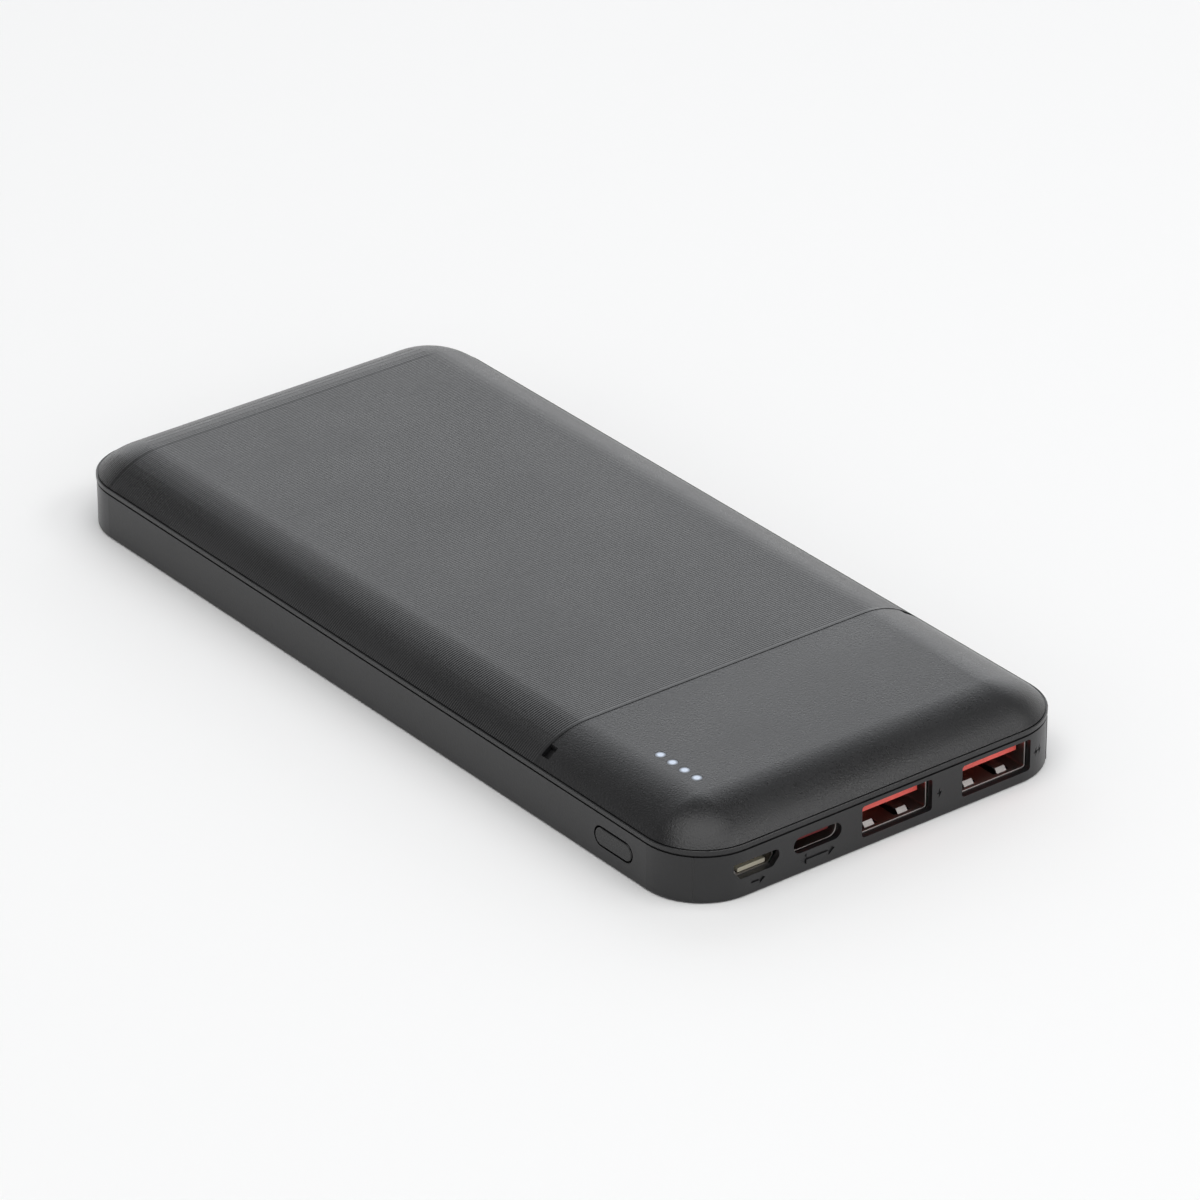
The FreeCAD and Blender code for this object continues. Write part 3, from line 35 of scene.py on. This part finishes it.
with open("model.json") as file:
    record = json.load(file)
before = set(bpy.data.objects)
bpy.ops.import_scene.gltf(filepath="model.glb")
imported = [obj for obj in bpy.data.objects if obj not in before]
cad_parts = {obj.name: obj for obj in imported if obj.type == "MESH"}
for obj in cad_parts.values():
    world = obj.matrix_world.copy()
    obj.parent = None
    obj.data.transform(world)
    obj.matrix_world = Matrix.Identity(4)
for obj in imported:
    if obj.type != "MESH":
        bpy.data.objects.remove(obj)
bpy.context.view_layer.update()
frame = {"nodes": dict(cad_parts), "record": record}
NODES = frame["nodes"]
MM = 0.001


# ---- camera, floor and light ------------------------------------------------------------------

VIEW_AZIMUTH = math.radians(-37.877)
VIEW_ELEVATION = math.radians(28.634)
VIEW_ROLL = math.radians(0.054)
VIEW_DISTANCE = 1.072
VIEW_TARGET = Vector((0.01182, 0.0046, 0.0))
VIEW_LENS = 209.1
SENSOR = 36.0


def toward(azimuth, elevation):
    """The unit direction from the object to a place at that azimuth and elevation; azimuth 0 is -Y."""
    flat = math.cos(elevation)
    return Vector((math.sin(azimuth) * flat, -math.cos(azimuth) * flat, math.sin(elevation)))


def add_camera():
    data = bpy.data.cameras.new("view")
    data.lens = VIEW_LENS
    data.sensor_width = SENSOR
    data.clip_start = 0.01
    data.clip_end = 60.0
    camera = bpy.data.objects.new("view", data)
    bpy.context.scene.collection.objects.link(camera)
    back = toward(VIEW_AZIMUTH, VIEW_ELEVATION)
    turn = back.to_track_quat("Z", "Y").to_matrix() @ Matrix.Rotation(-VIEW_ROLL, 3, "Z")
    camera.matrix_world = Matrix.Translation(VIEW_TARGET + back * VIEW_DISTANCE) @ turn.to_4x4()
    bpy.context.scene.camera = camera


def add_floor():
    bpy.ops.mesh.primitive_plane_add(size=24.0)
    floor = bpy.context.object
    floor.name = "floor"
    material, tree, shader = new_material("floor_paper")
    shader.inputs["Base Color"].default_value = (0.93, 0.93, 0.93, 1)
    shader.inputs["Roughness"].default_value = 0.95
    shader.inputs["Specular IOR Level"].default_value = 0.0
    floor.data.materials.append(material)


def add_light(name, azimuth, elevation, distance, size, power, color=(1, 1, 1)):
    data = bpy.data.lights.new(name, "AREA")
    data.color = color
    data.shape = "RECTANGLE"
    data.size, data.size_y = size
    data.energy = power
    lamp = bpy.data.objects.new(name, data)
    bpy.context.scene.collection.objects.link(lamp)
    away = toward(math.radians(azimuth), math.radians(elevation))
    lamp.location = away * distance
    lamp.rotation_euler = away.to_track_quat("Z", "Y").to_euler()


# how bright the studio is, from the horizon (0) to straight up (1)
SKY = ((0.0, 1.0), (0.33, 0.9), (0.5, 0.25), (1.0, 0.08))
SKY_STRENGTH = 1.25


def add_world():
    world = bpy.data.worlds.new("studio")
    world.use_nodes = True
    tree = world.node_tree
    background = tree.nodes["Background"]
    place = tree.nodes.new("ShaderNodeTexCoord")
    split = tree.nodes.new("ShaderNodeSeparateXYZ")
    ramp = tree.nodes.new("ShaderNodeValToRGB")
    tree.links.new(place.outputs["Generated"], split.inputs[0])
    tree.links.new(split.outputs["Z"], ramp.inputs["Fac"])
    tree.links.new(ramp.outputs["Color"], background.inputs["Color"])
    stops = ramp.color_ramp.elements
    for stop, (position, tone) in zip((stops[0], stops[1]), (SKY[0], SKY[-1])):
        stop.position = position
        stop.color = (tone, tone, tone, 1)
    for position, tone in SKY[1:-1]:
        stops.new(position).color = (tone, tone, tone, 1)
    background.inputs["Strength"].default_value = SKY_STRENGTH
    bpy.context.scene.world = world


# ---- shader helpers ---------------------------------------------------------------------------

def new_material(name):
    material = bpy.data.materials.new(name)
    material.use_nodes = True
    return material, material.node_tree, material.node_tree.nodes["Principled BSDF"]


def place_of(tree, stretch=(1, 1, 1)):
    """Object coordinates, which are metres in the model's frame; stretch squeezes a pattern along an axis."""
    coordinates = tree.nodes.new("ShaderNodeTexCoord")
    mapping = tree.nodes.new("ShaderNodeMapping")
    mapping.inputs["Scale"].default_value = stretch
    tree.links.new(coordinates.outputs["Object"], mapping.inputs["Vector"])
    return mapping.outputs["Vector"]


def noise(tree, place, size, detail=2.0):
    node = tree.nodes.new("ShaderNodeTexNoise")
    node.inputs["Scale"].default_value = 1 / size
    node.inputs["Detail"].default_value = detail
    tree.links.new(place, node.inputs["Vector"])
    return node.outputs["Fac"]


def cells_of(tree, place, size, feature="F1"):
    node = tree.nodes.new("ShaderNodeTexVoronoi")
    node.feature = feature
    node.inputs["Scale"].default_value = 1 / size
    tree.links.new(place, node.inputs["Vector"])
    return node.outputs["Distance"]


def maths(tree, operation, first, second=None, third=None):
    node = tree.nodes.new("ShaderNodeMath")
    node.operation = operation
    for socket, value in zip(node.inputs, (first, second, third)):
        if value is None:
            continue
        if isinstance(value, (int, float)):
            socket.default_value = value
        else:
            tree.links.new(value, socket)
    return node.outputs[0]


def between(tree, value, low, high, start=0.3, stop=0.7):
    """The value's stretch from start to stop, spread from low to high."""
    node = tree.nodes.new("ShaderNodeMapRange")
    node.interpolation_type = "SMOOTHSTEP"
    for name, number in (("From Min", start), ("From Max", stop), ("To Min", low), ("To Max", high)):
        node.inputs[name].default_value = number
    tree.links.new(value, node.inputs["Value"])
    return node.outputs[0]


def blend(tree, factor, first, second):
    """A colour between two, each a tuple or a socket."""
    node = tree.nodes.new("ShaderNodeMix")
    node.data_type = "RGBA"
    tree.links.new(factor, node.inputs["Factor"])
    for socket, color in ((node.inputs[6], first), (node.inputs[7], second)):
        if isinstance(color, tuple):
            socket.default_value = (*color, 1)
        else:
            tree.links.new(color, socket)
    return node.outputs[2]


def axes_of(tree, place):
    split = tree.nodes.new("ShaderNodeSeparateXYZ")
    tree.links.new(place, split.inputs[0])
    return split.outputs


def relief(tree, shader, height, depth):
    """A bump whose full height is depth."""
    bump = tree.nodes.new("ShaderNodeBump")
    bump.inputs["Distance"].default_value = depth
    tree.links.new(height, bump.inputs["Height"])
    tree.links.new(bump.outputs["Normal"], shader.inputs["Normal"])


def shade(color, factor):
    return tuple(min(1.0, part * factor) for part in color)


def finish_of(name, color, spread, rough, grain, depth, metallic=0.0, stretch=(1, 1, 1), coat=0.0):
    """A moulded, rolled or plated surface.

    spread is how far its colour wanders, rough its lowest and highest roughness, grain and depth the
    width and height of its texture, stretch the way a rolled or brushed grain runs.
    """
    material, tree, shader = new_material(name)
    even = place_of(tree)
    drift = noise(tree, even, 6 * MM, 3.0)
    tone = blend(tree, between(tree, drift, 0.0, 1.0), shade(color, 1 - spread), shade(color, 1 + spread))
    tree.links.new(tone, shader.inputs["Base Color"])
    run = place_of(tree, stretch)
    fine = noise(tree, run, grain, 3.0)
    wear = maths(tree, "MULTIPLY_ADD", fine, 0.5, maths(tree, "MULTIPLY", drift, 0.5))
    tree.links.new(between(tree, wear, rough[0], rough[1]), shader.inputs["Roughness"])
    shader.inputs["Metallic"].default_value = metallic
    shader.inputs["Coat Weight"].default_value = coat
    relief(tree, shader, fine, depth)
    return material


# ---- the case ---------------------------------------------------------------------------------

BLACK = (0.0075, 0.0075, 0.0082)
SPARK = 0.3 * MM
SPARK_DEPTH = 0.055 * MM
RIBBED_PITS = 0.08
SEAM_FADE = 1.0 * MM


def case_plastic(name, color, spark_depth, rough):
    """Black moulded plastic with the fine pits of a spark-eroded mould."""
    material, tree, shader = new_material(name)
    place = place_of(tree)
    drift = noise(tree, place, 14 * MM, 3.0)
    speck = noise(tree, place, 0.35 * MM, 2.0)
    tone = blend(tree, between(tree, drift, 0.0, 1.0), shade(color, 0.9), shade(color, 1.12))
    tree.links.new(tone, shader.inputs["Base Color"])
    pits = noise(tree, place, SPARK, 4.0)
    gloss = maths(tree, "MULTIPLY_ADD", speck, 0.6, maths(tree, "MULTIPLY", drift, 0.4))
    tree.links.new(between(tree, gloss, rough[0], rough[1]), shader.inputs["Roughness"])
    relief(tree, shader, pits, spark_depth)
    return material


def cover_plastic():
    """The case plastic, with its pits at full depth only on the plain panel in front of the seam."""
    material = case_plastic("cover_black", BLACK, SPARK_DEPTH, (0.26, 0.34))
    tree = material.node_tree
    bump = next(node for node in tree.nodes if node.type == "BUMP")
    along = axes_of(tree, place_of(tree))["Y"]
    plain = between(tree, along, 1.0, RIBBED_PITS, RIB_START - SEAM_FADE, RIB_START)
    tree.links.new(plain, bump.inputs["Strength"])
    return material


# ---- lights -----------------------------------------------------------------------------------

GLOW = (0.74, 0.84, 1.0)
GLOW_STRENGTH = 0.72
GLOW_FROM = 12.0 * MM
GLOW_CORE = 0.3 * MM
GLOW_EDGE = 0.76 * MM
LIGHT_COUNT = 4
LIGHT_PITCH = 2.8 * MM


def clear_guide():
    """Frosted clear plastic, lit at the four ends that show in the cover."""
    material, tree, shader = new_material("clear_guide")
    place = place_of(tree)
    frost = noise(tree, place, 0.2 * MM, 2.0)
    tree.links.new(between(tree, frost, 0.25, 0.45), shader.inputs["Roughness"])
    shader.inputs["Base Color"].default_value = (0.07, 0.08, 0.1, 1)
    haze = blend(tree, between(tree, frost, 0.0, 1.0), shade(GLOW, 0.92), GLOW)
    tree.links.new(haze, shader.inputs["Emission Color"])
    low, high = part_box("led_light_guide")
    first = low[1] + (high[1] - low[1] - (LIGHT_COUNT - 1) * LIGHT_PITCH) / 2
    axes = axes_of(tree, place)
    across = maths(tree, "SUBTRACT", axes["X"], (low[0] + high[0]) / 2)
    along = maths(tree, "PINGPONG", maths(tree, "SUBTRACT", axes["Y"], first), LIGHT_PITCH / 2)
    squares = maths(tree, "ADD", maths(tree, "MULTIPLY", across, across),
                    maths(tree, "MULTIPLY", along, along))
    core = between(tree, maths(tree, "SQRT", squares), 1.0, 0.15, GLOW_CORE, GLOW_EDGE)
    lit = maths(tree, "MULTIPLY", maths(tree, "GREATER_THAN", axes["Z"], GLOW_FROM), GLOW_STRENGTH)
    tree.links.new(maths(tree, "MULTIPLY", lit, core), shader.inputs["Emission Strength"])
    relief(tree, shader, frost, 0.01 * MM)
    return material


# ---- boards and cells -------------------------------------------------------------------------

def circuit_green():
    """Green solder mask over copper: lighter tracks show through as a grid broken into runs."""
    material, tree, shader = new_material("board_green")
    place = place_of(tree)
    across, along = axes_of(tree, place)["X"], axes_of(tree, place)["Y"]
    patches = between(tree, noise(tree, place, 5 * MM, 1.0), 0.0, 1.0, 0.45, 0.5)
    tracks = []
    for axis in (across, along):
        wave = maths(tree, "ABSOLUTE", maths(tree, "SINE", maths(tree, "MULTIPLY", axis, 2500.0)))
        tracks.append(between(tree, wave, 0.0, 1.0, 0.72, 0.8))
    lines = maths(tree, "ADD", maths(tree, "MULTIPLY", tracks[0], patches),
                  maths(tree, "MULTIPLY", tracks[1], maths(tree, "SUBTRACT", 1.0, patches)))
    tone = blend(tree, lines, (0.012, 0.085, 0.035), (0.03, 0.17, 0.07))
    tree.links.new(tone, shader.inputs["Base Color"])
    shader.inputs["Roughness"].default_value = 0.32
    shader.inputs["Coat Weight"].default_value = 0.3
    relief(tree, shader, lines, 0.03 * MM)
    return material


def pouch_foil():
    """Satin laminated foil with shallow creases."""
    material, tree, shader = new_material("pouch_foil")
    place = place_of(tree)
    creases = cells_of(tree, place, 9 * MM, "DISTANCE_TO_EDGE")
    soft = noise(tree, place, 7 * MM, 4.0)
    tone = blend(tree, between(tree, soft, 0.0, 1.0), (0.62, 0.63, 0.65), (0.78, 0.79, 0.81))
    tree.links.new(tone, shader.inputs["Base Color"])
    tree.links.new(between(tree, soft, 0.28, 0.42), shader.inputs["Roughness"])
    shader.inputs["Metallic"].default_value = 0.85
    height = maths(tree, "ADD", between(tree, creases, 0.0, 1.0, 0.0, 0.08), soft)
    relief(tree, shader, height, 0.15 * MM)
    return material


# ---- every slot's material --------------------------------------------------------------------

BRUSHED = (1, 0.08, 1)
STEEL = (0.34, 0.32, 0.31)
TIN = (0.75, 0.75, 0.76)


def slot_materials():
    """The finish of each material slot of the record."""
    return {
        "case_black": case_plastic("tray_black", BLACK, SPARK_DEPTH * 0.25, (0.28, 0.36)),
        "key_black": case_plastic("key_black", shade(BLACK, 0.6), SPARK_DEPTH * 0.15, (0.26, 0.34)),
        "clear_guide": clear_guide(),
        "baffle_black": finish_of("baffle_black", (0.012, 0.012, 0.012), 0.2, (0.7, 0.9),
                                  0.3 * MM, 0.05 * MM),
        "lamp_white": finish_of("lamp_white", (0.85, 0.83, 0.68), 0.08, (0.2, 0.35), 0.2 * MM, 0.01 * MM),
        "board_green": circuit_green(),
        "port_steel": finish_of("port_steel", STEEL, 0.06, (0.3, 0.45), 0.12 * MM, 0.006 * MM, 1.0, BRUSHED),
        "port_coral": finish_of("port_coral", (0.84, 0.11, 0.085), 0.06, (0.3, 0.42), 0.15 * MM, 0.008 * MM),
        # port_red is the coral port plastic made about six times darker: painted shade for the shaded inside
        # of the port
        "port_red": finish_of("port_red", (0.15, 0.008, 0.008), 0.1, (0.3, 0.42), 0.15 * MM, 0.008 * MM),
        "port_grey": finish_of("port_grey", (0.5, 0.47, 0.37), 0.06, (0.3, 0.42), 0.15 * MM, 0.008 * MM),
        "contact_gold": finish_of("contact_gold", (0.86, 0.62, 0.25), 0.05, (0.15, 0.28), 0.1 * MM,
                                  0.003 * MM, 1.0, BRUSHED),
        "ferrite": finish_of("ferrite", (0.055, 0.055, 0.06), 0.25, (0.6, 0.8), 0.2 * MM, 0.03 * MM),
        "tinned": finish_of("tinned", TIN, 0.06, (0.2, 0.4), 0.3 * MM, 0.01 * MM, 1.0),
        "can_silver": finish_of("can_silver", (0.78, 0.78, 0.8), 0.04, (0.15, 0.3), 0.15 * MM,
                                0.005 * MM, 1.0, (1, 1, 0.05)),
        "ceramic_tan": finish_of("ceramic_tan", (0.42, 0.27, 0.15), 0.1, (0.4, 0.55), 0.1 * MM, 0.01 * MM),
        "chip_black": finish_of("chip_black", (0.022, 0.022, 0.024), 0.2, (0.45, 0.6), 0.08 * MM, 0.01 * MM),
        "screw_steel": finish_of("screw_steel", (0.55, 0.55, 0.57), 0.08, (0.2, 0.4), 0.15 * MM,
                                 0.006 * MM, 1.0),
        "pouch_foil": pouch_foil(),
        "tab_nickel": finish_of("tab_nickel", (0.7, 0.69, 0.66), 0.06, (0.25, 0.4), 0.15 * MM,
                                0.006 * MM, 1.0, BRUSHED),
        "tape_amber": finish_of("tape_amber", (0.6, 0.28, 0.04), 0.12, (0.15, 0.25), 0.8 * MM,
                                0.02 * MM, coat=0.5),
        "lead_red": finish_of("lead_red", (0.5, 0.02, 0.015), 0.1, (0.35, 0.5), 0.3 * MM, 0.01 * MM),
        "lead_black": finish_of("lead_black", (0.018, 0.018, 0.018), 0.2, (0.35, 0.5), 0.3 * MM, 0.01 * MM),
        "pad_white": finish_of("pad_white", (0.78, 0.78, 0.75), 0.06, (0.6, 0.8), 0.4 * MM, 0.05 * MM),
        "foam_grey": finish_of("foam_grey", (0.13, 0.13, 0.14), 0.25, (0.8, 0.95), 0.5 * MM, 0.2 * MM),
        "bead_black": finish_of("bead_black", (0.02, 0.02, 0.02), 0.2, (0.15, 0.3), 0.8 * MM, 0.03 * MM),
    }


def dress_nodes():
    materials = slot_materials()
    slots = {part["node"]: part["material_slot"] for part in frame["record"]["subparts"]}
    for name, node in NODES.items():
        node.data.materials.clear()
        node.data.materials.append(materials[slots[name]])


# ---- the ribbed cover -------------------------------------------------------------------------

RIB_PITCH = 0.45 * MM
RIB_DEPTH = 0.028 * MM
RIB_START = -40.9 * MM
RIB_END_MARGIN = 0.6 * MM
OUTER_LOW = 8.9 * MM
WELD = 0.002 * MM
SHARP_ANGLE = math.radians(28)
CORNER_RADIUS = 10.2 * MM
RIM_WIDTH = 10.1 * MM
RIM_ARC = 13.8 * MM
CHORD_SLACK = 0.04 * MM


def outer_faces(mesh):
    """The cover's top and rim, without its lip, its grooves' walls and its inside."""
    return [face for face in mesh.faces if face.normal.z > 0.3 and face.calc_center_median().z > OUTER_LOW]


def furthest(face):
    return max(vert.co.y for vert in face.verts)


def cut_across(mesh, places):
    """Cuts the outer faces along X at each of the rising Y places."""
    ahead = outer_faces(mesh)
    for y in places:
        parts = {item for face in ahead for item in (face, *face.verts, *face.edges)}
        result = bmesh.ops.bisect_plane(mesh, geom=list(parts), plane_co=(0, y, 0), plane_no=(0, 1, 0),
                                        dist=WELD / 4)
        ahead = [item for item in result["geom"]
                 if isinstance(item, bmesh.types.BMFace) and furthest(item) > y + WELD]


def steps_of(places):
    """The places as whole weld distances, so that a point can be matched to one of them."""
    return {round(y / WELD) for y in places}


def lies_on(vert, steps):
    step = round(vert.co.y / WELD)
    return not steps.isdisjoint((step - 1, step, step + 1))


def true_surface(x, y, high):
    """The height and direction of the cover's outside: a flat top, then one arc down to the lip.

    high is the upper corner of the cover's box.
    """
    past = Vector((max(abs(x) - high[0] + CORNER_RADIUS, 0), max(abs(y) - high[1] + CORNER_RADIUS, 0)))
    out = past.length - (CORNER_RADIUS - RIM_WIDTH)
    if out <= 0:
        return high[2], Vector((0, 0, 1))
    rise = math.sqrt(RIM_ARC ** 2 - out ** 2)
    away = past.normalized() * out
    direction = Vector((math.copysign(away.x, x), math.copysign(away.y, y), rise)) / RIM_ARC
    return high[2] - RIM_ARC + rise, direction


def shape_ribs(mesh, places):
    """Lays the cut points on the true surface, then sinks every second place to make the valleys."""
    valleys = steps_of(places[1::2])
    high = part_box("top_cover")[1]
    for vert in {vert for face in outer_faces(mesh) for vert in face.verts}:
        height, direction = true_surface(vert.co.x, vert.co.y, high)
        if vert.co.y < RIB_START - WELD or abs(height - vert.co.z) > CHORD_SLACK:
            continue
        sunk = lies_on(vert, valleys)
        vert.co.z = height
        if sunk:
            vert.co -= direction * RIB_DEPTH


def rib_lines(mesh, places):
    """The edges that lie along a rib's ridge or valley."""
    steps = steps_of(places)
    return [edge for edge in mesh.edges
            if abs(edge.verts[0].co.y - edge.verts[1].co.y) < WELD and lies_on(edge.verts[0], steps)]


def soften(mesh, creases):
    """Smooth shading, kept sharp along the creases and at real corners."""
    for face in mesh.faces:
        face.smooth = True
    for edge in mesh.edges:
        edge.smooth = len(edge.link_faces) == 2 and edge.calc_face_angle(0.0) < SHARP_ANGLE
    for edge in creases:
        edge.smooth = False


def ribbed_cover():
    """The cover with real ribs across it behind the seam, cut into the outer skin of a copy."""
    mesh = bmesh.new()
    mesh.from_mesh(NODES["top_cover"].data)
    bmesh.ops.remove_doubles(mesh, verts=mesh.verts, dist=WELD)
    mesh.normal_update()
    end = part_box("top_cover")[1][1] - RIB_END_MARGIN
    count = int((end - RIB_START) / RIB_PITCH)
    places = [RIB_START + number * RIB_PITCH / 2 for number in range(2 * count + 1)]
    cut_across(mesh, places)
    mesh.normal_update()
    creases = rib_lines(mesh, places)
    shape_ribs(mesh, places)
    mesh.normal_update()
    soften(mesh, creases)
    data = bpy.data.meshes.new("cover_skin")
    mesh.to_mesh(data)
    mesh.free()
    # the CAD mesh's stored normals don't know about the ribs
    if "custom_normal" in data.attributes:
        data.attributes.remove(data.attributes["custom_normal"])
    cover = bpy.data.objects.new("cover_skin", data)
    bpy.context.scene.collection.objects.link(cover)
    data.materials.append(cover_plastic())
    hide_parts("top_cover")
    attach(cover, "root")


bpy.context.scene.view_settings.view_transform = "Standard"
add_camera()
add_floor()
add_world()
add_light("rear_softbox", 142, 28, 1.5, (1.6, 0.9), 5.2, (0.93, 0.96, 1.0))
add_light("top_softbox", -38, 78, 1.3, (1.4, 1.2), 10.8)
add_light("front_softbox", 40, 46, 1.3, (0.9, 0.35), 2.6)
dress_nodes()
ribbed_cover()
